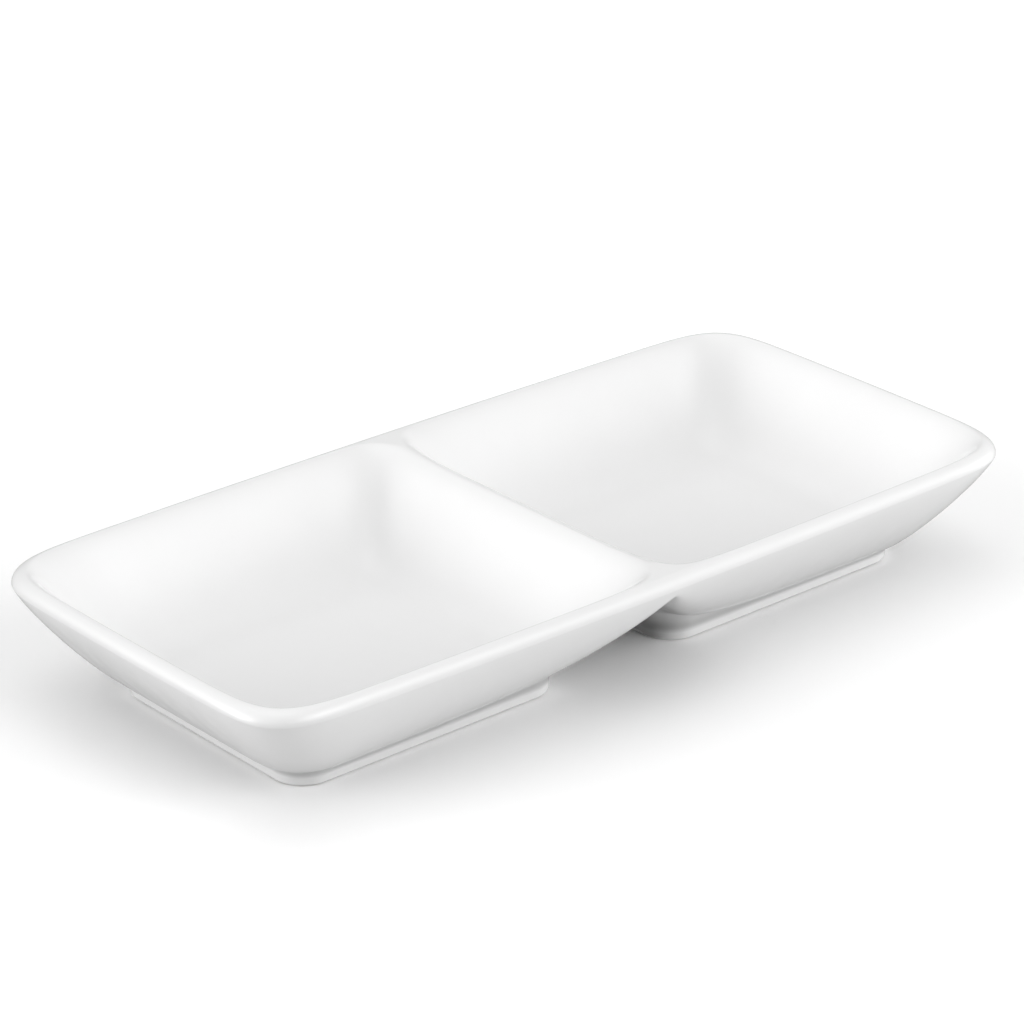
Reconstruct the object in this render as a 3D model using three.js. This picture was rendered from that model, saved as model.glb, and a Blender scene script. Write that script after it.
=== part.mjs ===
// Two-compartment serving dish in white glazed porcelain: two trays, the divider that joins them, and
// a standing ring under each tray. Millimetres, +Z up. The origin is on the table under the middle of
// the dish, and +X runs along its length.
import * as THREE from "three";

// Overall sizes
const LENGTH = 180; // over the rim, end to end
const WIDTH = 85; // over the rim, across the divider
const HEIGHT = 24; // table to the crest of the lip
const LONG_SIDE_BOW = 1.4; // how far the long rims draw in at the corners
const END_BOW = 0.6; // how far the short rims draw in at the corners

// Walls, lip and floor
const SIDE_WALL_REACH = 23.4; // plan width of a long wall, rim to flat floor
const CORNER_POWER = 4.4; // superellipse exponent of the corners: 2 is an ellipse, more is squarer
const LIP_WIDTH = 4; // the rolled lip across its crest
const LIP_DROP = 2.4; // crest of the lip to its outermost line
const FLOOR_THICKNESS = 4.6; // recessed underside to the floor of a tray
const INSIDE_POWER = 2.2; // how late the inside wall rises from the floor
const LIP_POWER = 1.3; // how round the inside wall turns over into the lip
const BELLY_POWER = 1.2; // fullness of the outside wall: 1 is straight, 2 is a quarter ellipse

// Divider and the arch under it
const DIVIDER_WIDTH = 12; // the member between the two trays
const CREST_DROP = 0.7; // crest of the divider below the crest of the lip
const CREST_ROUND = 2.5; // rounding of the crest
const CREST_THICKNESS = 4.2; // crest of the divider to the top of the arch
const ARCH_ROUND = 2; // rounding of the top of the arch
const ARCH_POWER = 0.8; // how wide the arch stays towards its top: 1 is a straight-sided gable
const ARCH_FILLET = 3; // fillet between arch and belly: lower is fuller
const FACE_SPREAD = 7.2; // the divider's faces reach the floor this far past the arch's feet
const RIDGE_POWER = 8; // superellipse exponent where the divider's crest meets the rim

// Feet
const FOOT_GAP = 25.5; // between the two standing rings
const FOOT_END_INSET = 16.8; // rim to standing ring at the ends
const FOOT_SIDE_INSET = 16.2; // rim to standing ring at the long sides
const FOOT_CORNER = 6.3; // corner radius of a standing ring
const RING_HEIGHT = 1.6; // table to the recessed underside
const RING_WIDTH = 4.5; // the sole from its outer to its inner edge
const RING_DRAFT = 0.4; // lean of the ring's inner side
const SOLE_ROUND = 0.6; // rounded edges of the sole
const COVE = 2.2; // hollow fillet above the ring, into the belly
const UNDERFOOT_DIVE = 3; // how fast the belly's surface would dive on under the foot, past the cove

// Lattice of the surfaces
const RIM_STEPS = { corner: 10, side: 9, end: 6, across: 11 }; // along the rim and across the cut
const INSIDE_ROWS = 11; // rim to floor
const FLOOR_ROWS = [0.3, 0.65]; // floor's edge to its middle
const BELLY_ROWS = 8; // rim to cove
const COVE_ROWS = [0.45, 0.12]; // cove to foot
const DIVIDER_COLUMNS = 10;
const ROW_EASE = 2.3; // how much closer the rows lie at the rim
const CUT_EASE = 3; // how much closer the places across the cut lie at the rim

const halfLength = LENGTH / 2;
const halfWidth = WIDTH / 2;
const halfDivider = DIVIDER_WIDTH / 2;
const endWallReach = (SIDE_WALL_REACH * (FOOT_END_INSET - COVE)) / (FOOT_SIDE_INSET - COVE);
const floorX = halfLength - endWallReach;
const floorY = halfWidth - SIDE_WALL_REACH;
const floorDepth = HEIGHT - RING_HEIGHT - FLOOR_THICKNESS;
const edgeHeight = HEIGHT - LIP_DROP;
const bellyHeight = edgeHeight - RING_HEIGHT - COVE;
const crestShare = 1 - LIP_WIDTH / 2 / SIDE_WALL_REACH;
const bellyShare = 1 - (FOOT_SIDE_INSET - COVE) / SIDE_WALL_REACH;
const archDepth = CREST_DROP + CREST_THICKNESS - LIP_DROP;
const ridgeShare = crestShare * (1 - (CREST_DROP / floorDepth) ** (1 / LIP_POWER)) ** (1 / INSIDE_POWER);

const foot = {
  middle: (FOOT_GAP / 2 + halfLength - FOOT_END_INSET) / 2,
  halfX: (halfLength - FOOT_END_INSET - FOOT_GAP / 2) / 2,
  halfY: halfWidth - FOOT_SIDE_INSET,
  corner: FOOT_CORNER,
};
const floor = {
  middle: (FOOT_GAP / 2 + FACE_SPREAD + floorX) / 2,
  halfX: (floorX - FOOT_GAP / 2 - FACE_SPREAD) / 2,
  halfY: floorY,
  corner: FOOT_CORNER,
};

// How far a place is into the end wall and into the long wall: 0 over the flat floor, 1 at the rim.
function endShare(x) {
  return Math.max(0, Math.abs(x) - floorX) / endWallReach;
}

function sideShare(y) {
  return Math.max(0, Math.abs(y) - floorY) / SIDE_WALL_REACH;
}

// Two walls that meet in a corner: squarish at the top by a superellipse, ever rounder below.
function cornered(along, across, power) {
  const top = Math.min(1, (along ** power + across ** power) ** (1 / power));
  return top + (Math.hypot(along, across) - top) * (1 - top);
}

// Place in the outer wall: 0 over the flat floor, 1 on the outermost line of the rim.
function wallShare(x, y) {
  return cornered(endShare(x), sideShare(y), CORNER_POWER);
}

// Distance from the middle plane, flattened near it so that a crest made from it is round.
function softDistance(x, round) {
  return Math.hypot(x, round) - round;
}

// Height of the inside: lip, sloping walls, floor, and the divider as the inner wall of each compartment.
function insideHeight(x, y) {
  const share = wallShare(x, y);
  if (share >= crestShare) {
    const over = (share - crestShare) / (1 - crestShare);
    return HEIGHT - LIP_DROP * (1 - Math.sqrt(1 - over * over));
  }
  const faceReach = softDistance(FOOT_GAP / 2 + FACE_SPREAD, CREST_ROUND);
  const face = ridgeShare * Math.max(0, 1 - softDistance(x, CREST_ROUND) / faceReach);
  const rise = Math.max(share, cornered(face, sideShare(y), RIDGE_POWER)) / crestShare;
  return HEIGHT - floorDepth * (1 - Math.min(1, rise) ** INSIDE_POWER) ** LIP_POWER;
}

// Distance outside the outline of a standing ring, negative within it.
function footDistance(x, y) {
  const alongX = Math.abs(Math.abs(x) - foot.middle) - (foot.halfX - foot.corner);
  const alongY = Math.abs(y) - (foot.halfY - foot.corner);
  const outside = Math.hypot(Math.max(alongX, 0), Math.max(alongY, 0));
  return outside + Math.min(Math.max(alongX, alongY), 0) - foot.corner;
}

// Height of the underside: belly, arch, cove, and the flat that the standing ring sits on.
function undersideHeight(x, y) {
  const rise = (wallShare(x, y) - bellyShare) / (1 - bellyShare);
  const wall = (1 - Math.max(0, rise) ** BELLY_POWER) ** (1 / BELLY_POWER);
  const full = wall + UNDERFOOT_DIVE * Math.min(0, rise) ** 2;
  const archReach = softDistance(FOOT_GAP / 2, ARCH_ROUND);
  const archShare = softDistance(x, ARCH_ROUND) / archReach;
  const underArch = archDepth + (bellyHeight - archDepth) * archShare ** ARCH_POWER;
  const depth = ((bellyHeight * full) ** -ARCH_FILLET + underArch ** -ARCH_FILLET) ** (-1 / ARCH_FILLET);
  const belly = edgeHeight - depth;
  const inCove = 1 - THREE.MathUtils.clamp(footDistance(x, y) / COVE, 0, 1);
  return RING_HEIGHT + Math.max(0, belly - RING_HEIGHT) * Math.sqrt(1 - inCove * inCove);
}

// The gentle bow of the rim: walls draw in towards the corners of the dish.
function bowed(x, y, z) {
  const drawX = END_BOW * (endShare(x) * y / halfWidth) ** 2;
  const drawY = LONG_SIDE_BOW * (sideShare(y) * x / halfLength) ** 2;
  return new THREE.Vector3(x - Math.sign(x) * drawX, y - Math.sign(y) * drawY, z);
}

// Values from one number to another, closer together at the start when ease is over 1.
function spaced(from, to, steps, ease = 1) {
  return Array.from({ length: steps + 1 }, (_, i) => from + (to - from) * (i / steps) ** ease);
}

// Places across the dish where the divider is cut from the trays, close together over the lip.
function acrossPlaces() {
  const near = spaced(-halfWidth, 0, RIM_STEPS.across, CUT_EASE);
  return [...near, ...near.slice(0, -1).reverse().map((y) => -y)];
}

// One corner of the rim, from the long side round to the end, as points of a superellipse.
function cornerPoints() {
  return spaced(0, Math.PI / 2, RIM_STEPS.corner).map((angle) => {
    const along = Math.sin(angle);
    const across = Math.cos(angle);
    const radius = (along ** CORNER_POWER + across ** CORNER_POWER) ** (-1 / CORNER_POWER);
    return [floorX + endWallReach * radius * along, floorY + SIDE_WALL_REACH * radius * across];
  });
}

// Outline of the right-hand tray in four runs, anticlockwise: front, end, back, and the cut at the divider.
// Each run goes from the middle of one corner to the middle of the next.
function trayRuns() {
  const corner = cornerPoints();
  const middle = RIM_STEPS.corner / 2;
  const side = spaced(halfDivider, floorX, RIM_STEPS.side, ROW_EASE).map((x) => [x, halfWidth]);
  const halfEnd = spaced(floorY, 0, RIM_STEPS.end / 2).map((y) => [halfLength, y]);
  const backHalf = [...corner.slice(middle), ...halfEnd.slice(1)];
  const endRun = [...backHalf, ...backHalf.slice(0, -1).reverse().map(([x, y]) => [x, -y])].reverse();
  const backRun = [...side, ...corner.slice(1, middle + 1)].reverse();
  const frontRun = [...backRun].reverse().map(([x, y]) => [x, -y]);
  const cutRun = acrossPlaces().map((y) => [halfDivider, -y]);
  return [frontRun, endRun, backRun, cutRun];
}

// Share of a run's length at each of its points.
function lengthShares(run) {
  const sums = [0];
  for (let i = 1; i < run.length; i++) {
    sums.push(sums[i - 1] + Math.hypot(run[i][0] - run[i - 1][0], run[i][1] - run[i - 1][1]));
  }
  return sums.map((sum) => sum / sums.at(-1));
}

// Point and outward direction on a rounded rectangle, at a share of the run that starts at corner 0 to 3:
// inner front, outer front, outer back, inner back.
function roundedPoint(box, start, share) {
  const turn = (start * Math.PI) / 2;
  const [halfRun, halfDeep] = start % 2 ? [box.halfY, box.halfX] : [box.halfX, box.halfY];
  const straight = 2 * (halfRun - box.corner);
  const arc = (box.corner * Math.PI) / 4;
  const at = share * (straight + 2 * arc);
  const before = Math.min(0, at - arc) / box.corner;
  const after = Math.max(0, at - arc - straight) / box.corner;
  const lean = before + after;
  const slide = THREE.MathUtils.clamp(at - arc, 0, straight) - straight / 2;
  const outward = [Math.sin(lean), -Math.cos(lean)];
  const local = [slide + box.corner * outward[0], -(halfDeep - box.corner) + box.corner * outward[1]];
  const spin = ([x, y]) => [x * Math.cos(turn) - y * Math.sin(turn), x * Math.sin(turn) + y * Math.cos(turn)];
  const [x, y] = spin(local);
  return { point: [x + box.middle, y], outward: spin(outward) };
}

// Closed loop on a rounded rectangle, one point for each point of the runs, grown outward by a distance.
function matchedLoop(box, runs, grow) {
  return runs.flatMap((run, start) =>
    lengthShares(run).slice(0, -1).map((share) => {
      const { point, outward } = roundedPoint(box, start, share);
      return [point[0] + grow * outward[0], point[1] + grow * outward[1]];
    }),
  );
}

function between(from, to, share) {
  return from.map(([x, y], i) => [x + (to[i][0] - x) * share, y + (to[i][1] - y) * share]);
}

function raised(loop, height) {
  return loop.map(([x, y]) => bowed(x, y, height(x, y)));
}

// Triangles of a band between two closed rows, facing up when the outer row runs anticlockwise.
function band(outer, inner) {
  return outer.flatMap((point, i) => {
    const next = (i + 1) % outer.length;
    return [[point, outer[next], inner[next]], [point, inner[next], inner[i]]];
  });
}

function bands(rows) {
  return rows.slice(1).flatMap((row, i) => band(rows[i], row));
}

function fan(row, middle) {
  return row.map((point, i) => [point, row[(i + 1) % row.length], middle]);
}

// Triangles of a strip between two open rows of the same length.
function strip(first, second) {
  return first.slice(1).flatMap((point, i) => [
    [first[i], point, second[i + 1]],
    [first[i], second[i + 1], second[i]],
  ]);
}

function flipped(triangles) {
  return triangles.map(([a, b, c]) => [a, c, b]);
}

// Welds equal corners, drops triangles that have closed up, and makes the geometry.
function solid(triangles) {
  const keys = new Map();
  const places = [];
  const faces = [];
  for (const triangle of triangles) {
    const corners = triangle.map((point) => {
      const key = point.toArray().map((value) => Math.round(value * 1e4)).join();
      if (!keys.has(key)) {
        keys.set(key, places.length / 3);
        places.push(...point.toArray());
      }
      return keys.get(key);
    });
    if (new Set(corners).size === 3) faces.push(...corners);
  }
  const geometry = new THREE.BufferGeometry();
  geometry.setAttribute("position", new THREE.Float32BufferAttribute(places, 3));
  geometry.setIndex(faces);
  geometry.computeVertexNormals();
  return geometry;
}

// The right-hand tray: inside and underside lofted from the rim to the floor and to the foot.
function trayGeometry() {
  const runs = trayRuns();
  const rim = runs.flatMap((run) => run.slice(0, -1));
  const floorLoop = matchedLoop(floor, runs, 0);
  const coveLoop = matchedLoop(foot, runs, COVE);
  const footLoop = matchedLoop(foot, runs, 0);
  const centreLoop = rim.map(() => [floor.middle, 0]);
  const insideRows = [
    ...spaced(0, 1, INSIDE_ROWS, ROW_EASE).map((share) => between(rim, floorLoop, share)),
    ...FLOOR_ROWS.map((share) => between(floorLoop, centreLoop, share)),
  ].map((loop) => raised(loop, insideHeight));
  const bellyRows = spaced(0, 1, BELLY_ROWS, ROW_EASE)
    .map((share) => raised(between(rim, coveLoop, share), undersideHeight));
  const coveRows = COVE_ROWS.map((share) => raised(between(footLoop, coveLoop, share), undersideHeight));
  const seatRow = raised(footLoop, () => RING_HEIGHT);
  const floorMiddle = new THREE.Vector3(floor.middle, 0, insideHeight(floor.middle, 0));
  const seatMiddle = new THREE.Vector3(foot.middle, 0, RING_HEIGHT);
  const underRows = [...bellyRows, ...coveRows, seatRow];
  const cutStart = rim.length - runs[3].length + 1;
  const cutTop = [...insideRows[0].slice(cutStart), insideRows[0][0]];
  const cutBottom = [...bellyRows[0].slice(cutStart), bellyRows[0][0]];
  return solid([
    ...bands(insideRows),
    ...fan(insideRows.at(-1), floorMiddle),
    ...flipped([...bands(underRows), ...fan(seatRow, seatMiddle)]),
    ...strip(cutBottom, cutTop),
  ]);
}

// The divider: a saddle with the crest on top and the arch below, cut square where it meets the trays.
function dividerGeometry() {
  const acrossDish = acrossPlaces();
  const columns = spaced(-halfDivider, halfDivider, DIVIDER_COLUMNS);
  const sheet = (height) => columns.map((x) => acrossDish.map((y) => bowed(x, y, height(x, y))));
  const top = sheet(insideHeight);
  const bottom = sheet(undersideHeight);
  const joined = (rows) => rows.slice(1).flatMap((row, i) => strip(rows[i], row));
  return solid([
    ...flipped(joined(top)),
    ...joined(bottom),
    ...strip(top[0], bottom[0]),
    ...strip(bottom.at(-1), top.at(-1)),
  ]);
}

// A standing ring: one section carried round the foot, rounded at both edges of its sole.
function footRingGeometry() {
  const runs = trayRuns();
  const roundStep = SOLE_ROUND * (1 - Math.SQRT1_2);
  const section = [
    [0, RING_HEIGHT],
    [0, SOLE_ROUND],
    [roundStep, roundStep],
    [SOLE_ROUND, 0],
    [RING_WIDTH - SOLE_ROUND, 0],
    [RING_WIDTH - roundStep, roundStep],
    [RING_WIDTH, SOLE_ROUND],
    [RING_WIDTH + RING_DRAFT, RING_HEIGHT],
  ];
  const rows = section.map(([inset, height]) => raised(matchedLoop(foot, runs, -inset), () => height));
  return solid(flipped(bands([...rows, rows[0]])));
}

function glazedPorcelain() {
  return new THREE.MeshStandardMaterial({ color: 0xf4f4f2, roughness: 0.12, metalness: 0 });
}

function barePorcelain() {
  return new THREE.MeshStandardMaterial({ color: 0xe9e6df, roughness: 0.75, metalness: 0 });
}

function piece(name, geometry, material) {
  const mesh = new THREE.Mesh(geometry, material);
  mesh.name = name;
  return mesh;
}

// One half of the dish; the other half is the same one turned half round.
function half(side) {
  const group = new THREE.Group();
  group.add(piece(`${side}_bowl`, trayGeometry(), glazedPorcelain()));
  group.add(piece(`${side}_foot_ring`, footRingGeometry(), barePorcelain()));
  return group;
}

const dish = new THREE.Group();
const rightHalf = half("right");
const leftHalf = half("left");
leftHalf.rotation.z = Math.PI;
dish.add(rightHalf, leftHalf, piece("divider", dividerGeometry(), glazedPorcelain()));

export default dish;
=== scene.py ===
import math

import bpy
import numpy as np
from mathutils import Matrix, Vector


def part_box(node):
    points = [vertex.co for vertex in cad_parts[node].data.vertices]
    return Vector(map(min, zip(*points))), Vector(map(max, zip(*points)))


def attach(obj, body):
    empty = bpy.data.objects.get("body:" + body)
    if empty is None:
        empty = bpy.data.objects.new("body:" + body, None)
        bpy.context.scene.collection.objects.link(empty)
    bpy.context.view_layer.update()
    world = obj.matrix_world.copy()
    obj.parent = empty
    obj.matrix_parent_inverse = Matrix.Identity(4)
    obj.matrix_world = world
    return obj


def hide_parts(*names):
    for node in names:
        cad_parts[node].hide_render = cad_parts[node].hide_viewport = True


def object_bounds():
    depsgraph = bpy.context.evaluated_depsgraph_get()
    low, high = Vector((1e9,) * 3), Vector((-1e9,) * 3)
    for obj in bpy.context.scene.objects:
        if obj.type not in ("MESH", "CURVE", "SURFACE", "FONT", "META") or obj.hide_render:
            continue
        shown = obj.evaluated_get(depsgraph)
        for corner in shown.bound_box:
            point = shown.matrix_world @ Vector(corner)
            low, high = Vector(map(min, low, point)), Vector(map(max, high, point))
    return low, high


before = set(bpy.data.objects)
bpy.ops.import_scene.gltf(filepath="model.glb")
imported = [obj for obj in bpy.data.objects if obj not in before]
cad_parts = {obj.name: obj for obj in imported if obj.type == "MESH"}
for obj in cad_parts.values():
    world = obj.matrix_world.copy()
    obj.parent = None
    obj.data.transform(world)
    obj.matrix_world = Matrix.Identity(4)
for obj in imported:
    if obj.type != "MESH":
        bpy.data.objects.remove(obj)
cad_box = [list(corner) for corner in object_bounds()]


# Left and right trays.
# Slip-cast white porcelain, one compartment each: a flat floor, sloping walls, a rolled lip, and a belly
# that sweeps in to the foot. They are fired in one piece with the divider and glazed all over.

MM = 0.001
LENGTH, WIDTH, HEIGHT = (high - low for low, high in zip(*cad_box))
HALF_LENGTH = LENGTH / 2
HALF_WIDTH = WIDTH / 2
LONG_SIDE_BOW = 1.4 * MM  # how far the long rims draw in at the corners
END_BOW = 0.6 * MM  # how far the short rims draw in at the corners

RING_LOW, RING_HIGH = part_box("right_foot_ring")
RING_HEIGHT = RING_HIGH.z
FOOT_START = RING_LOW.x  # from the middle of the dish to a foot
FOOT_MIDDLE = (RING_LOW.x + RING_HIGH.x) / 2
FOOT_HALF_X = (RING_HIGH.x - RING_LOW.x) / 2
FOOT_HALF_Y = RING_HIGH.y
FOOT_CORNER = 6.3 * MM
COVE = 2.2 * MM  # hollow fillet above the ring, into the belly

SIDE_WALL_REACH = 23.4 * MM  # plan width of a long wall, rim to flat floor
END_WALL_REACH = SIDE_WALL_REACH * (HALF_LENGTH - RING_HIGH.x - COVE) / (HALF_WIDTH - RING_HIGH.y - COVE)
FLOOR_X = HALF_LENGTH - END_WALL_REACH
FLOOR_Y = HALF_WIDTH - SIDE_WALL_REACH
CORNER_POWER = 4.4  # superellipse exponent of the corners
LIP_WIDTH = 4 * MM
LIP_DROP = 2.4 * MM  # crest of the lip to its outermost line
EDGE_HEIGHT = HEIGHT - LIP_DROP
FLOOR_THICKNESS = 4.6 * MM
FLOOR_DEPTH = HEIGHT - RING_HEIGHT - FLOOR_THICKNESS
INSIDE_POWER = 2.2  # how late the inside wall rises from the floor
LIP_POWER = 1.3  # how round the inside wall turns over into the lip
CREST_SHARE = 1 - LIP_WIDTH / 2 / SIDE_WALL_REACH
BELLY_POWER = 1.2  # fullness of the outside wall
BELLY_HEIGHT = EDGE_HEIGHT - RING_HEIGHT - COVE
BELLY_SHARE = 1 - (HALF_WIDTH - RING_HIGH.y - COVE) / SIDE_WALL_REACH
UNDERFOOT_DIVE = 3  # how fast the belly's surface would dive on under the foot

HALF_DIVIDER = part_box("divider")[1].x
CREST_DROP = 0.7 * MM  # crest of the divider below the crest of the lip
CREST_ROUND = 2.5 * MM
CREST_THICKNESS = 4.2 * MM
FACE_START = FOOT_START + 7.2 * MM  # where the divider's faces reach the floor
RIDGE_POWER = 8  # superellipse exponent where the divider's crest meets the rim
RIDGE_SHARE = CREST_SHARE * (1 - (CREST_DROP / FLOOR_DEPTH) ** (1 / LIP_POWER)) ** (1 / INSIDE_POWER)
ARCH_ROUND = 2 * MM
ARCH_POWER = 0.8  # how wide the arch stays towards its top
ARCH_DEPTH = CREST_DROP + CREST_THICKNESS - LIP_DROP
ARCH_FILLET = 3  # fillet between arch and belly: lower is fuller

FLOOR_MIDDLE = (FACE_START + FLOOR_X) / 2
FLOOR_HALF_X = (FLOOR_X - FACE_START) / 2

SIDE_STEPS = 96  # lattice steps along a long rim, from the divider to the corner
CORNER_STEPS = 26  # round half a corner
END_STEPS = 26  # along half of an end
CUT_STEPS = 60  # across half of the cut at the divider
INSIDE_ROWS = 60  # rim to the edge of the floor
FLOOR_ROWS = 14  # edge of the floor to its middle
BELLY_ROWS = 46  # rim to cove
COVE_ROWS = 12
ROW_EASE = 2.3  # how much closer the rows lie at the rim
CUT_EASE = 2.2
RUN_DEPTH = 4 * MM  # height over which the run of glaze thins out
LIP_SHADE_DEPTH = 1.6 * MM  # depth below the top over which the painted shade on the lip and the crest fades
COVE_SHADE_HEIGHT = 1.3 * MM  # height above the ring where the painted shade in the cove is darkest

BODY_WHITES = ("e7e7e7", "ebebeb")
POOLED_GREY = "e5e5e5"
LIP_SHADE_GREY = "e1e1e1"  # painted shade on the lip and the crest
COVE_SHADE_GREY = "bcbcbc"  # painted shade in the cove
CLOUD_SIZE = 16 * MM
GLOSS_PATCH = 5 * MM
GLAZE_ROUGHNESS = (0.16, 0.24)
RIPPLE_SIZE = 3 * MM
RIPPLE_HEIGHT = 0.03 * MM
RIPPLE_STRENGTH = 0.25
PORCELAIN_IOR = 1.5
NOISE_RANGE = (0.3, 0.7)  # where most values of a noise lie
MIX_FROM, MIX_TO, MIXED = 6, 7, 2  # colour sockets of a Mix node


def wall_parts(x, y):
    """How far a place is into the end wall and into the long wall: 0 at the flat floor, 1 at the rim."""
    end = np.maximum(0, np.abs(x) - FLOOR_X) / END_WALL_REACH
    side = np.maximum(0, np.abs(y) - FLOOR_Y) / SIDE_WALL_REACH
    return end, side


def cornered(along, across, power):
    """Two walls that meet in a corner: a superellipse (a^p + b^p)^(1/p) at the top, ever rounder below."""
    top = np.minimum(1, (along**power + across**power) ** (1 / power))
    return top + (np.hypot(along, across) - top) * (1 - top)


def soft_distance(x, rounding):
    """Distance from the middle plane, flattened near it: sqrt(x^2 + r^2) - r."""
    return np.hypot(x, rounding) - rounding


def inside_height(x, y):
    """Height of the inside: a quarter ellipse over the lip, else floor depth times (1 - rise^p)^q."""
    end, side = wall_parts(x, y)
    share = cornered(end, side, CORNER_POWER)
    over = np.clip((share - CREST_SHARE) / (1 - CREST_SHARE), 0, 1)
    lip = HEIGHT - LIP_DROP * (1 - np.sqrt(1 - over**2))
    face_way = soft_distance(x, CREST_ROUND) / soft_distance(FACE_START, CREST_ROUND)
    face = RIDGE_SHARE * np.maximum(0, 1 - face_way)
    rise = np.minimum(1, np.maximum(share, cornered(face, side, RIDGE_POWER)) / CREST_SHARE)
    wall = HEIGHT - FLOOR_DEPTH * (1 - rise**INSIDE_POWER) ** LIP_POWER
    return np.where(share < CREST_SHARE, wall, lip)


def foot_distance(x, y):
    """Distance outside the rounded rectangle of a foot, negative within it."""
    along_x = np.abs(np.abs(x) - FOOT_MIDDLE) - (FOOT_HALF_X - FOOT_CORNER)
    along_y = np.abs(y) - (FOOT_HALF_Y - FOOT_CORNER)
    outside = np.hypot(np.maximum(along_x, 0), np.maximum(along_y, 0))
    return outside + np.minimum(np.maximum(along_x, along_y), 0) - FOOT_CORNER


def underside_height(x, y):
    """Height of the underside: belly (1 - rise^p)^(1/p) or arch, filleted, and a quarter-round cove."""
    rise = (cornered(*wall_parts(x, y), CORNER_POWER) - BELLY_SHARE) / (1 - BELLY_SHARE)
    wall = (1 - np.maximum(0, rise) ** BELLY_POWER) ** (1 / BELLY_POWER)
    belly_depth = BELLY_HEIGHT * (wall + UNDERFOOT_DIVE * np.minimum(0, rise) ** 2)
    arch = soft_distance(x, ARCH_ROUND) / soft_distance(FOOT_START, ARCH_ROUND)
    arch_depth = ARCH_DEPTH + (BELLY_HEIGHT - ARCH_DEPTH) * arch**ARCH_POWER
    with np.errstate(divide="ignore"):
        depth = (belly_depth**-ARCH_FILLET + arch_depth**-ARCH_FILLET) ** (-1 / ARCH_FILLET)
    belly = EDGE_HEIGHT - depth
    in_cove = 1 - np.clip(foot_distance(x, y) / COVE, 0, 1)
    return RING_HEIGHT + np.maximum(0, belly - RING_HEIGHT) * np.sqrt(1 - in_cove**2)


def drawn_in(plan, height):
    """Points of a plan at a height, with the walls drawn in towards the corners as the square of the way."""
    x, y = plan[..., 0], plan[..., 1]
    end, side = wall_parts(x, y)
    bowed_x = x - np.sign(x) * END_BOW * (end * y / HALF_WIDTH) ** 2
    bowed_y = y - np.sign(y) * LONG_SIDE_BOW * (side * x / HALF_LENGTH) ** 2
    return np.stack([bowed_x, bowed_y, np.broadcast_to(height, x.shape)], -1)


def eased(steps, ease=1):
    """Shares from 0 to 1, closer together at 0 when ease is over 1."""
    return np.linspace(0, 1, steps + 1) ** ease


def across_places():
    """Places across the dish, from front to back, close together over both lips."""
    near = -HALF_WIDTH * (1 - eased(CUT_STEPS, CUT_EASE))
    return np.concatenate([near, -near[-2::-1]])


def tray_runs():
    """Outline of the right tray in four runs, anticlockwise: front, end, back, and the cut at the divider."""
    angle = np.linspace(0, np.pi / 2, 2 * CORNER_STEPS + 1)
    along, across = np.sin(angle), np.cos(angle)
    radius = (along**CORNER_POWER + across**CORNER_POWER) ** (-1 / CORNER_POWER)
    corner_x = FLOOR_X + END_WALL_REACH * radius * along
    corner_y = FLOOR_Y + SIDE_WALL_REACH * radius * across
    corner = np.stack([corner_x, corner_y], 1)
    side_x = HALF_DIVIDER + (FLOOR_X - HALF_DIVIDER) * eased(SIDE_STEPS)
    side = np.stack([side_x, np.full_like(side_x, HALF_WIDTH)], 1)
    end_y = FLOOR_Y * (1 - eased(END_STEPS))
    end = np.stack([np.full_like(end_y, HALF_LENGTH), end_y], 1)
    to_front = np.array([1, -1])
    half_end = np.concatenate([corner[CORNER_STEPS:], end[1:]])
    back = np.concatenate([side, corner[1 : CORNER_STEPS + 1]])[::-1]
    front = back[::-1] * to_front
    whole_end = np.concatenate([half_end * to_front, half_end[-2::-1]])
    cut_y = across_places()[::-1]
    cut = np.stack([np.full_like(cut_y, HALF_DIVIDER), cut_y], 1)
    return [front, whole_end, back, cut]


def rounded_loop(middle, half_x, half_y, runs, grow):
    """A rounded rectangle with one point for each point of the runs, matched by share of length."""
    sides = []
    for turns, run in enumerate(runs):
        steps = np.linalg.norm(np.diff(run, axis=0), axis=1)
        share = np.concatenate([[0], np.cumsum(steps)[:-1]]) / steps.sum()
        half_run, half_deep = (half_y, half_x) if turns % 2 else (half_x, half_y)
        straight = 2 * (half_run - FOOT_CORNER)
        arc = FOOT_CORNER * np.pi / 4
        at = share * (straight + 2 * arc) - arc
        lean = (np.minimum(0, at) + np.maximum(0, at - straight)) / FOOT_CORNER
        outward = np.stack([np.sin(lean), -np.cos(lean)], 1)
        centre_run = np.clip(at, 0, straight) - straight / 2
        centre = np.stack([centre_run, np.full_like(at, FOOT_CORNER - half_deep)], 1)
        cosine, sine = math.cos(turns * math.pi / 2), math.sin(turns * math.pi / 2)
        turned = np.array([[cosine, sine], [-sine, cosine]])
        sides.append((centre + outward * (FOOT_CORNER + grow)) @ turned + [middle, 0])
    return np.concatenate(sides)


def grid_faces(rows, columns, first=0, closed=True):
    """Quads of a grid of points, row by row, facing up when the first row runs anticlockwise outside."""
    here = np.arange(columns if closed else columns - 1)
    there = (here + 1) % columns
    row = first + columns * np.arange(rows - 1)[:, None]
    return np.stack([row + here, row + there, row + columns + there, row + columns + here], -1).reshape(-1, 4)


def triangles(a, b, c):
    """Triangles as quads whose last corner is doubled."""
    a, b, c = np.broadcast_arrays(a, b, c)
    return np.stack([a, b, c, c], -1)


def welded(points, curved, flat):
    """Joins equal points and drops faces that have closed up; flat faces come last."""
    keys = np.round(points / (1e-4 * MM)).astype(np.int64)
    _, first, group = np.unique(keys, axis=0, return_index=True, return_inverse=True)
    group = group.reshape(-1)
    flat = group[flat]
    flat = flat[(flat[:, 0] != flat[:, 1]) & (flat[:, 1] != flat[:, 2]) & (flat[:, 2] != flat[:, 0])]
    return points[first], group[curved], flat


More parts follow.
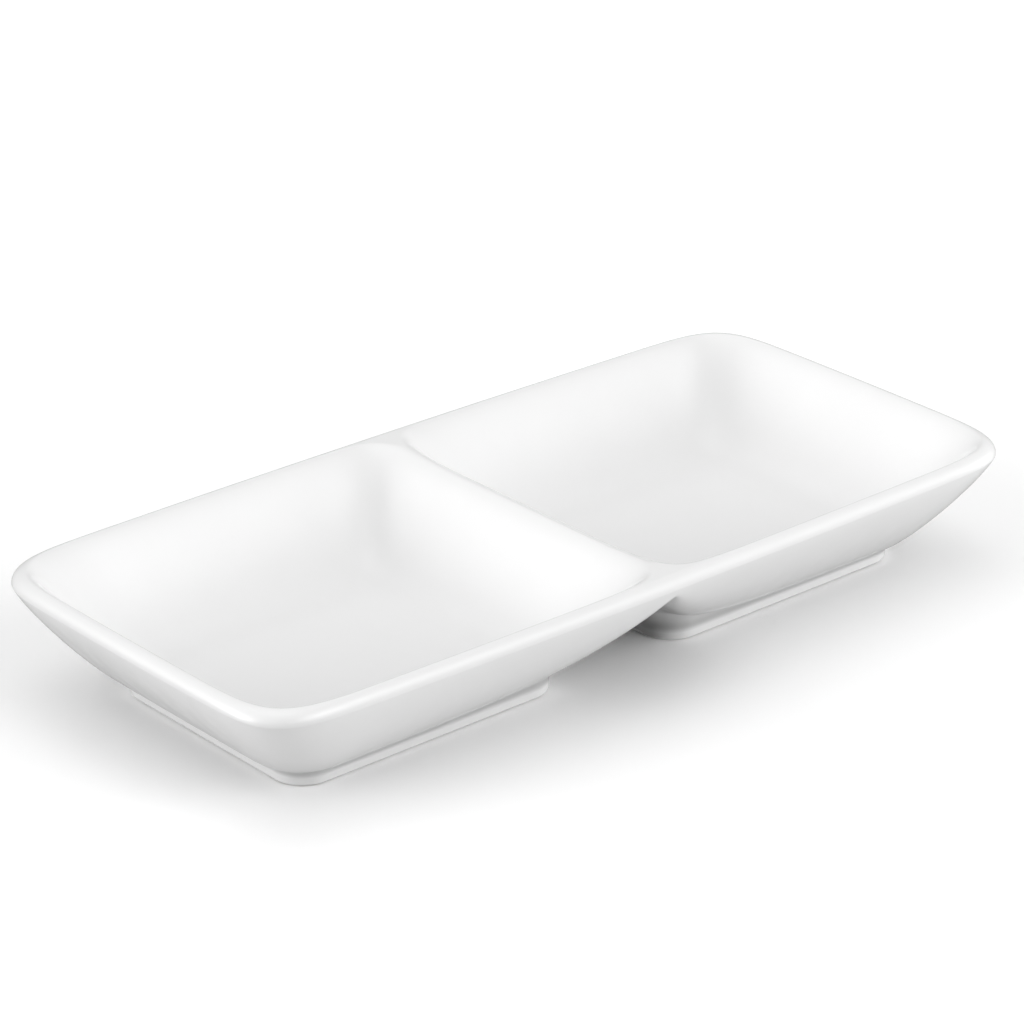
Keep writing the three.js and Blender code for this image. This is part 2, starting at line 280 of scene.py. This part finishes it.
def tray_surface():
    """The right tray: plan loops lofted from rim to floor inside, and from rim to cove and foot outside."""
    runs = tray_runs()
    rim = np.concatenate([run[:-1] for run in runs])
    count = len(rim)
    floor_edge = rounded_loop(FLOOR_MIDDLE, FLOOR_HALF_X, FLOOR_Y, runs, 0)
    cove_edge = rounded_loop(FOOT_MIDDLE, FOOT_HALF_X, FOOT_HALF_Y, runs, COVE)
    foot_edge = rounded_loop(FOOT_MIDDLE, FOOT_HALF_X, FOOT_HALF_Y, runs, 0)
    wall_share_rows = eased(INSIDE_ROWS, ROW_EASE)[:, None, None]
    floor_rows = eased(FLOOR_ROWS)[1:-1, None, None]
    belly_rows = eased(BELLY_ROWS, ROW_EASE)[:, None, None]
    cove_turn = np.linspace(np.pi / 2, 0, COVE_ROWS + 1)[1:, None, None]
    inside = np.concatenate([
        rim + (floor_edge - rim) * wall_share_rows,
        floor_edge + ([FLOOR_MIDDLE, 0] - floor_edge) * floor_rows,
    ])
    under = np.concatenate([
        rim + (cove_edge - rim) * belly_rows,
        foot_edge + (cove_edge - foot_edge) * (1 - np.cos(cove_turn)),
    ])
    middles = np.array([[FLOOR_MIDDLE, 0], [FOOT_MIDDLE, 0]])
    middle_heights = np.array([inside_height(*middles[0]), RING_HEIGHT])
    inside_points = drawn_in(inside, inside_height(inside[..., 0], inside[..., 1]))
    under_points = drawn_in(under, underside_height(under[..., 0], under[..., 1]))
    points = np.concatenate([
        inside_points.reshape(-1, 3), under_points.reshape(-1, 3), drawn_in(middles, middle_heights),
    ])
    under_first = len(inside) * count
    floor_middle, seat_middle = len(points) - 2, len(points) - 1
    here = np.arange(count)
    there = (here + 1) % count
    floor_last = under_first - count
    seat_last = floor_middle - count
    cut = here[count - len(runs[3]) + 1 :]
    cut_next = there[count - len(runs[3]) + 1 :]
    curved = np.concatenate([
        grid_faces(len(inside), count),
        triangles(floor_last + here, floor_last + there, floor_middle),
        grid_faces(len(under), count, under_first)[:, ::-1],
    ])
    flat = np.concatenate([
        triangles(seat_last + there, seat_last + here, seat_middle),
        triangles(cut, under_first + cut, under_first + cut_next),
        triangles(cut, under_first + cut_next, cut_next),
    ])
    return welded(points, curved, flat)


def lies_inside(points):
    """Whether each point is nearer to the inside of the dish than to its underside."""
    x, y, z = points.T
    return z > (inside_height(x, y) + underside_height(x, y)) / 2


def glaze_run(points):
    """How far the glaze has run down: 1 on the floor and in the cove, e^(-rise / depth) up the walls."""
    lowest = np.where(lies_inside(points), HEIGHT - FLOOR_DEPTH, RING_HEIGHT)
    return np.exp(-np.maximum(0, points[:, 2] - lowest) / RUN_DEPTH)


def painted_lip_shade(points):
    """How strongly shade is painted over the lip and the crest: e^(-fall / depth) below the top."""
    return np.exp(-(HEIGHT - points[:, 2]) / LIP_SHADE_DEPTH)


def painted_cove_shade(points):
    """How dark the shade painted into the cove is: t^2 e^(2 - 2t), where t is the rise above the ring in
    shade heights.
    """
    rise = np.maximum(0, points[:, 2] - RING_HEIGHT) / COVE_SHADE_HEIGHT
    return np.where(lies_inside(points), 0, rise**2 * np.exp(2 - 2 * rise))


def made_piece(name, surface):
    """A mesh object at the origin from points, curved faces and flat faces, with the layers of its glaze and
    its painted shade.
    """
    points, curved, flat = surface
    faces = np.concatenate([curved, flat])
    three = faces[:, 2] == faces[:, 3]
    corners = [face[:3] if tri else face for face, tri in zip(faces.tolist(), three.tolist())]
    mesh = bpy.data.meshes.new(name)
    mesh.from_pydata(points, [], corners)
    mesh.validate()
    for layer in (glaze_run, painted_lip_shade, painted_cove_shade):
        mesh.attributes.new(layer.__name__, "FLOAT", "POINT").data.foreach_set("value", layer(points))
    piece = bpy.data.objects.new(name, mesh)
    bpy.context.scene.collection.objects.link(piece)
    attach(piece, "root")
    return piece


def half_turned(surface):
    """The same surface turned half round the middle of the dish."""
    points, curved, flat = surface
    return points * [-1, -1, 1], curved, flat


def linear(hex_colour):
    """An sRGB hex colour as linear RGBA."""
    channels = np.array([int(hex_colour[i : i + 2], 16) / 255 for i in (0, 2, 4)])
    values = np.where(channels <= 0.04045, channels / 12.92, ((channels + 0.055) / 1.055) ** 2.4)
    return (*values.tolist(), 1)


def add_node(tree, kind, inputs, **settings):
    """Adds a node with its settings, and sets or links each named input."""
    node = tree.nodes.new(kind)
    for name, value in settings.items():
        setattr(node, name, value)
    for name, value in inputs.items():
        if isinstance(value, bpy.types.NodeSocket):
            tree.links.new(value, node.inputs[name])
        else:
            node.inputs[name].default_value = value
    return node


def new_material(name):
    """An empty node material and its tree."""
    material = bpy.data.materials.new(name)
    material.use_nodes = True
    material.node_tree.nodes.clear()
    return material, material.node_tree


def glazed_porcelain():
    """Slip-cast white porcelain, dipped in clear gloss glaze and fired: white with a soft wet shine.

    Where the glaze runs together, on the floors and low on the walls, it is a little greyer. The coves are
    painted a darker grey as shade, and the lip and the crest a little greyer as shade. A faint ripple is
    left from the dipping.
    """
    material, tree = new_material("clear_glazed_porcelain")
    place = add_node(tree, "ShaderNodeTexCoord", {}).outputs["Object"]
    run = add_node(tree, "ShaderNodeAttribute", {}, attribute_name="glaze_run").outputs["Fac"]
    cloud = add_node(tree, "ShaderNodeTexNoise", {"Vector": place, "Scale": 1 / CLOUD_SIZE, "Detail": 3.0})
    duller, whiter = (linear(colour) for colour in BODY_WHITES)
    body = add_node(tree, "ShaderNodeMix", {
        "Factor": cloud.outputs["Fac"], MIX_FROM: duller, MIX_TO: whiter,
    }, data_type="RGBA")
    pooled = add_node(tree, "ShaderNodeMix", {
        "Factor": run, MIX_FROM: body.outputs[MIXED], MIX_TO: linear(POOLED_GREY),
    }, data_type="RGBA")
    # Painted shade: the lip and the crest are made a little greyer towards the top.
    lip_darkening = add_node(tree, "ShaderNodeAttribute", {}, attribute_name="painted_lip_shade").outputs["Fac"]
    drawn = add_node(tree, "ShaderNodeMix", {
        "Factor": lip_darkening, MIX_FROM: pooled.outputs[MIXED], MIX_TO: linear(LIP_SHADE_GREY),
    }, data_type="RGBA")
    # Painted shade: the cove above each ring is made darker grey.
    cove_darkening = add_node(tree, "ShaderNodeAttribute", {}, attribute_name="painted_cove_shade").outputs["Fac"]
    tint = add_node(tree, "ShaderNodeMix", {
        "Factor": cove_darkening, MIX_FROM: drawn.outputs[MIXED], MIX_TO: linear(COVE_SHADE_GREY),
    }, data_type="RGBA")
    patchy = add_node(tree, "ShaderNodeTexNoise", {"Vector": place, "Scale": 1 / GLOSS_PATCH, "Detail": 4.0})
    roughness = add_node(tree, "ShaderNodeMapRange", {
        "Value": patchy.outputs["Fac"], "From Min": NOISE_RANGE[0], "From Max": NOISE_RANGE[1],
        "To Min": GLAZE_ROUGHNESS[0], "To Max": GLAZE_ROUGHNESS[1],
    })
    ripple = add_node(tree, "ShaderNodeTexNoise", {"Vector": place, "Scale": 1 / RIPPLE_SIZE, "Detail": 2.0})
    bump = add_node(tree, "ShaderNodeBump", {
        "Height": ripple.outputs["Fac"], "Strength": RIPPLE_STRENGTH, "Distance": RIPPLE_HEIGHT,
    })
    shader = add_node(tree, "ShaderNodeBsdfPrincipled", {
        "Base Color": tint.outputs[MIXED], "Roughness": roughness.outputs[0], "IOR": PORCELAIN_IOR,
        "Normal": bump.outputs["Normal"],
    })
    add_node(tree, "ShaderNodeOutputMaterial", {"Surface": shader.outputs["BSDF"]})
    return material


glaze = glazed_porcelain()
right_tray = tray_surface()
left_tray = half_turned(right_tray)
right_bowl = made_piece("glazed_right_bowl", right_tray)
left_bowl = made_piece("glazed_left_bowl", left_tray)
for bowl, node in ((right_bowl, "right_bowl"), (left_bowl, "left_bowl")):
    bowl.data.materials.append(glaze)
    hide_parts(node)


# Divider.
# The member that joins the two trays: a round crest on top, faces that run down into both floors, and an
# arch below between the feet. It is cast with the trays and has the same glaze.

DIVIDER_COLUMNS = 48


def divider_surface():
    """A saddle over x across the divider and y across the dish: inside height on top, underside below."""
    columns = np.linspace(-HALF_DIVIDER, HALF_DIVIDER, DIVIDER_COLUMNS + 1)
    places = across_places()
    plan = np.stack(np.meshgrid(columns, places, indexing="ij"), -1)
    top = drawn_in(plan, inside_height(plan[..., 0], plan[..., 1]))
    bottom = drawn_in(plan, underside_height(plan[..., 0], plan[..., 1]))
    points = np.concatenate([top.reshape(-1, 3), bottom.reshape(-1, 3)])
    rows, count = len(columns), len(places)
    bottom_first = rows * count
    here = np.arange(count - 1)
    below = bottom_first + here
    ends = [triangles(here, here + 1, below + 1), triangles(here, below + 1, below)]
    last = (rows - 1) * count
    far_ends = [face[:, [1, 0, 2, 2]] + last for face in ends]
    curved = np.concatenate([
        grid_faces(rows, count, closed=False)[:, ::-1],
        grid_faces(rows, count, bottom_first, closed=False),
    ])
    return welded(points, curved, np.concatenate(ends + far_ends))


saddle = divider_surface()
divider = made_piece("glazed_divider", saddle)
divider.data.materials.append(glaze)
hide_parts("divider")


# Standing rings.
# The low square ring under each tray that the dish stands on. Its side is glazed with the rest, and its
# sole is wiped clean of glaze before firing, so that the dish doesn't stick to the kiln shelf.

RING_WIDTH = 4.5 * MM
RING_DRAFT = 0.4 * MM
SOLE_ROUND = 0.6 * MM
SOLE_STEPS = 6

BARE_WHITES = ("dbd8d2", "e8e6e1")
RUB_GREY = "b5b0a7"
RING_WHITE = "e8e8e8"
GRIT_SIZE = 0.35 * MM
GRIT_HEIGHT = 0.05 * MM
GRIT_STRENGTH = 0.4
GLAZE_LEVEL = 0.8  # of the grit, which the glaze covers
RUB_SIZE = 2.2 * MM
RUB_RANGE = (0.55, 0.72)  # values of the noise where a rub starts and is full
RUB_DEPTH = 0.5
WANDER_SIZE = 6 * MM
WANDER_HEIGHT = 0.5 * MM
LINE_FOOT, LINE_TOP = 0.28 * MM, 0.4 * MM  # between bare and glazed
BARE_ROUGHNESS, RING_ROUGHNESS = 0.78, 0.2


def ring_surface():
    """One section, with quarter rounds at both edges of its sole, carried round the foot."""
    runs = tray_runs()
    angle = np.linspace(0, np.pi / 2, SOLE_STEPS + 1)
    outer = np.stack([SOLE_ROUND * (1 - np.cos(angle)), SOLE_ROUND * (1 - np.sin(angle))], 1)
    inner = outer[::-1] * [-1, 1] + [RING_WIDTH, 0]
    section = np.concatenate([[[0, RING_HEIGHT]], outer, inner, [[RING_WIDTH + RING_DRAFT, RING_HEIGHT]]])
    loops = []
    for inset, rise in section:
        loops.append(drawn_in(rounded_loop(FOOT_MIDDLE, FOOT_HALF_X, FOOT_HALF_Y, runs, -inset), rise))
    points = np.concatenate(loops)
    count = len(loops[0])
    here = np.arange(count)
    there = (here + 1) % count
    inner_top = len(points) - count
    top = [triangles(here, there, inner_top + there), triangles(here, inner_top + there, inner_top + here)]
    return welded(points, grid_faces(len(loops), count)[:, ::-1], np.concatenate(top))


def bare_porcelain():
    """Fired porcelain without glaze on the sole, matt, warm and slightly gritty, with grey rubs from use.

    Above a wandering line, where the wiping stopped, the glaze of the dish begins with its shine.
    """
    material, tree = new_material("biscuit_porcelain")
    place = add_node(tree, "ShaderNodeTexCoord", {}).outputs["Object"]
    grit = add_node(tree, "ShaderNodeTexNoise", {"Vector": place, "Scale": 1 / GRIT_SIZE, "Detail": 4.0})
    wander = add_node(tree, "ShaderNodeTexNoise", {"Vector": place, "Scale": 1 / WANDER_SIZE, "Detail": 2.0})
    rub = add_node(tree, "ShaderNodeTexNoise", {"Vector": place, "Scale": 1 / RUB_SIZE, "Detail": 5.0})
    height = add_node(tree, "ShaderNodeSeparateXYZ", {"Vector": place}).outputs["Z"]
    line = add_node(tree, "ShaderNodeMath", {
        0: wander.outputs["Fac"], 1: WANDER_HEIGHT, 2: height,
    }, operation="MULTIPLY_ADD")
    glazed = add_node(tree, "ShaderNodeMapRange", {
        "Value": line.outputs[0], "From Min": LINE_FOOT, "From Max": LINE_TOP,
    }, clamp=True)
    darker, lighter = (linear(colour) for colour in BARE_WHITES)
    clean = add_node(tree, "ShaderNodeMix", {
        "Factor": grit.outputs["Fac"], MIX_FROM: darker, MIX_TO: lighter,
    }, data_type="RGBA")
    rubbed = add_node(tree, "ShaderNodeMapRange", {
        "Value": rub.outputs["Fac"], "From Min": RUB_RANGE[0], "From Max": RUB_RANGE[1], "To Max": RUB_DEPTH,
    }, clamp=True)
    bare = add_node(tree, "ShaderNodeMix", {
        "Factor": rubbed.outputs[0], MIX_FROM: clean.outputs[MIXED], MIX_TO: linear(RUB_GREY),
    }, data_type="RGBA")
    colour = add_node(tree, "ShaderNodeMix", {
        "Factor": glazed.outputs[0], MIX_FROM: bare.outputs[MIXED], MIX_TO: linear(RING_WHITE),
    }, data_type="RGBA")
    roughness = add_node(tree, "ShaderNodeMapRange", {
        "Value": glazed.outputs[0], "To Min": BARE_ROUGHNESS, "To Max": RING_ROUGHNESS,
    })
    rough_height = add_node(tree, "ShaderNodeMapRange", {
        "Value": glazed.outputs[0], "To Min": grit.outputs["Fac"], "To Max": GLAZE_LEVEL,
    })
    bump = add_node(tree, "ShaderNodeBump", {
        "Height": rough_height.outputs[0], "Strength": GRIT_STRENGTH, "Distance": GRIT_HEIGHT,
    })
    shader = add_node(tree, "ShaderNodeBsdfPrincipled", {
        "Base Color": colour.outputs[MIXED], "Roughness": roughness.outputs[0], "IOR": PORCELAIN_IOR,
        "Normal": bump.outputs["Normal"],
    })
    add_node(tree, "ShaderNodeOutputMaterial", {"Surface": shader.outputs["BSDF"]})
    return material


biscuit = bare_porcelain()
right_sole = ring_surface()
left_sole = half_turned(right_sole)
right_ring = made_piece("right_standing_ring", right_sole)
left_ring = made_piece("left_standing_ring", left_sole)
for ring, node in ((right_ring, "right_foot_ring"), (left_ring, "left_foot_ring")):
    ring.data.materials.append(biscuit)
    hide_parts(node)


# One casting.
# Trays, divider and rings are unbroken porcelain, so the shading normals are shared over their joints.
# The hidden joint faces and the recess under each tray keep their own.

def share_normals(pieces):
    """Vertex normals summed over all curved faces that meet at a point, whichever piece they belong to."""
    starts = np.cumsum([0] + [len(surface[0]) for _, surface in pieces])
    points = np.concatenate([surface[0] for _, surface in pieces])
    keys = np.round(points / (1e-3 * MM)).astype(np.int64)
    _, group = np.unique(keys, axis=0, return_inverse=True)
    group = group.reshape(-1)
    curved = np.concatenate([surface[1] + start for start, (_, surface) in zip(starts, pieces)])
    a, b, c, d = (points[curved[:, corner]] for corner in range(4))
    facing = np.cross(c - a, d - b)
    sums = np.zeros((group.max() + 1, 3))
    for corner in range(4):
        np.add.at(sums, group[curved[:, corner]], facing)
    lengths = np.linalg.norm(sums, axis=1, keepdims=True)
    normals = (sums / np.where(lengths > 0, lengths, 1))[group]
    for start, (piece, (own, curved_faces, flat_faces)) in zip(starts, pieces):
        faces = np.concatenate([curved_faces, flat_faces])
        corner_normals = normals[faces + start]
        one, two, three, _ = (own[flat_faces[:, corner]] for corner in range(4))
        flat_facing = np.cross(two - one, three - one)
        flat_facing /= np.linalg.norm(flat_facing, axis=1, keepdims=True)
        corner_normals[len(curved_faces) :] = flat_facing[:, None]
        real_corner = np.ones(faces.shape, bool)
        real_corner[:, 3] = faces[:, 2] != faces[:, 3]
        piece.data.shade_smooth()
        piece.data.normals_split_custom_set(corner_normals[real_corner])


share_normals([
    (right_bowl, right_tray), (left_bowl, left_tray), (divider, saddle),
    (right_ring, right_sole), (left_ring, left_sole),
])


# Table, light and camera.
# A plain white table and, for the light that it throws back, a greyer paper and a black card between the
# feet, which the camera doesn't see. A tent of soft panels stands round them, with one small soft box at the
# right front, and the lens is a long one.

TABLE_SIZE = 12.0
TABLE_LEVEL, CARD_LEVEL, PAPER_LEVEL = -0.05 * MM, -0.07 * MM, -0.1 * MM
TABLE_WHITE = "fcfcfc"
PAPER_GREY = "c0c0c0"
CARD_BLACK = "101010"


def laid_sheet(name, height, colour, half_x, half_y):
    """A flat sheet under the dish, matt, so that only soft shadow shows on it."""
    material, tree = new_material(name)
    shader = add_node(tree, "ShaderNodeBsdfDiffuse", {"Color": linear(colour)})
    add_node(tree, "ShaderNodeOutputMaterial", {"Surface": shader.outputs["BSDF"]})
    corners = [(x * half_x, y * half_y, height) for x, y in ((-1, -1), (1, -1), (1, 1), (-1, 1))]
    mesh = bpy.data.meshes.new(name)
    mesh.from_pydata(corners, [], [(0, 1, 2, 3)])
    mesh.materials.append(material)
    sheet = bpy.data.objects.new(name, mesh)
    bpy.context.scene.collection.objects.link(sheet)
    sheet.visible_glossy = False
    return sheet


table = laid_sheet("white_table", TABLE_LEVEL, TABLE_WHITE, TABLE_SIZE / 2, TABLE_SIZE / 2)
table.visible_diffuse = False
table.visible_shadow = False
paper = laid_sheet("grey_paper", PAPER_LEVEL, PAPER_GREY, TABLE_SIZE / 2, TABLE_SIZE / 2)
paper.visible_camera = False
card = laid_sheet("black_card", CARD_LEVEL, CARD_BLACK, FOOT_START, HALF_WIDTH)
card.visible_camera = False
card.visible_shadow = False

# Each panel: bearing from +X, elevation, sharpness of its edge, radiance in its middle.
PANELS = [
    (154, 4, 24, 7.83),
    (289, 26, 16, 5.3),
    (334, 4, 24, 4.15),
    (169, 26, 16, 1.93),
    (139, 26, 16, 1.79),
    (0, 90, 8, 1.55),
    (0, -90, 3, 1.43),
    (79, 56, 10, 0.84),
    (19, 26, 16, 0.68),
    (49, 26, 16, 0.45),
]


def light_tent():
    """A world of soft panels: each glows as strength times e^(sharpness (cos(angle off its middle) - 1))."""
    world = bpy.data.worlds.new("light_tent")
    world.use_nodes = True
    tree = world.node_tree
    tree.nodes.clear()
    toward = add_node(tree, "ShaderNodeTexCoord", {}).outputs["Generated"]
    glow = 0.0
    for azimuth, elevation, sharpness, strength in PANELS:
        a, e = math.radians(azimuth), math.radians(elevation)
        middle = (math.cos(a) * math.cos(e), math.sin(a) * math.cos(e), math.sin(e))
        facing = add_node(tree, "ShaderNodeVectorMath", {0: toward, 1: middle}, operation="DOT_PRODUCT")
        fall = add_node(tree, "ShaderNodeMath", {
            0: facing.outputs["Value"], 1: sharpness, 2: math.log(strength) - sharpness,
        }, operation="MULTIPLY_ADD")
        panel = add_node(tree, "ShaderNodeMath", {0: fall.outputs[0]}, operation="EXPONENT")
        glow = add_node(tree, "ShaderNodeMath", {0: panel.outputs[0], 1: glow}, operation="ADD").outputs[0]
    cloth = add_node(tree, "ShaderNodeBackground", {"Color": (1, 1, 1, 1), "Strength": glow})
    add_node(tree, "ShaderNodeOutputWorld", {"Surface": cloth.outputs["Background"]})
    return world


bpy.context.scene.world = light_tent()

BOX_PLACE = np.array([170, -180, 18]) * MM
BOX_AIM = np.array([50, -40, 10]) * MM
BOX_LENGTH, BOX_DEPTH = 200 * MM, 30 * MM
BOX_POWER = 0.07  # watts

box_light = bpy.data.lights.new("front_soft_box", "AREA")
box_light.shape = "RECTANGLE"
box_light.size, box_light.size_y = BOX_LENGTH, BOX_DEPTH
box_light.energy = BOX_POWER
soft_box = bpy.data.objects.new("front_soft_box", box_light)
soft_box.location = BOX_PLACE
soft_box.rotation_euler = Vector(BOX_AIM - BOX_PLACE).to_track_quat("-Z", "Y").to_euler()
soft_box.visible_camera = False
soft_box.visible_glossy = False
bpy.context.scene.collection.objects.link(soft_box)

SENSOR = 36.0  # millimetres, as the lens
LENS = 140.49
CAMERA_YAW = 0.8563  # bearing of the line of sight, from +X
CAMERA_PITCH = 0.4259  # how far the line of sight points down
CAMERA_DISTANCE = 784.96 * MM
AIM = np.array([30.408 * MM, 37.593 * MM, 0])  # where the line of sight meets the table

level = math.cos(CAMERA_PITCH)
sight = np.array([level * math.cos(CAMERA_YAW), level * math.sin(CAMERA_YAW), -math.sin(CAMERA_PITCH)])
camera_data = bpy.data.cameras.new("camera")
camera_data.sensor_width = SENSOR
camera_data.lens = LENS
camera = bpy.data.objects.new("camera", camera_data)
camera.location = AIM - CAMERA_DISTANCE * sight
camera.rotation_euler = (math.pi / 2 - CAMERA_PITCH, 0, CAMERA_YAW - math.pi / 2)
bpy.context.scene.collection.objects.link(camera)
bpy.context.scene.camera = camera
bpy.context.scene.view_settings.view_transform = "Standard"
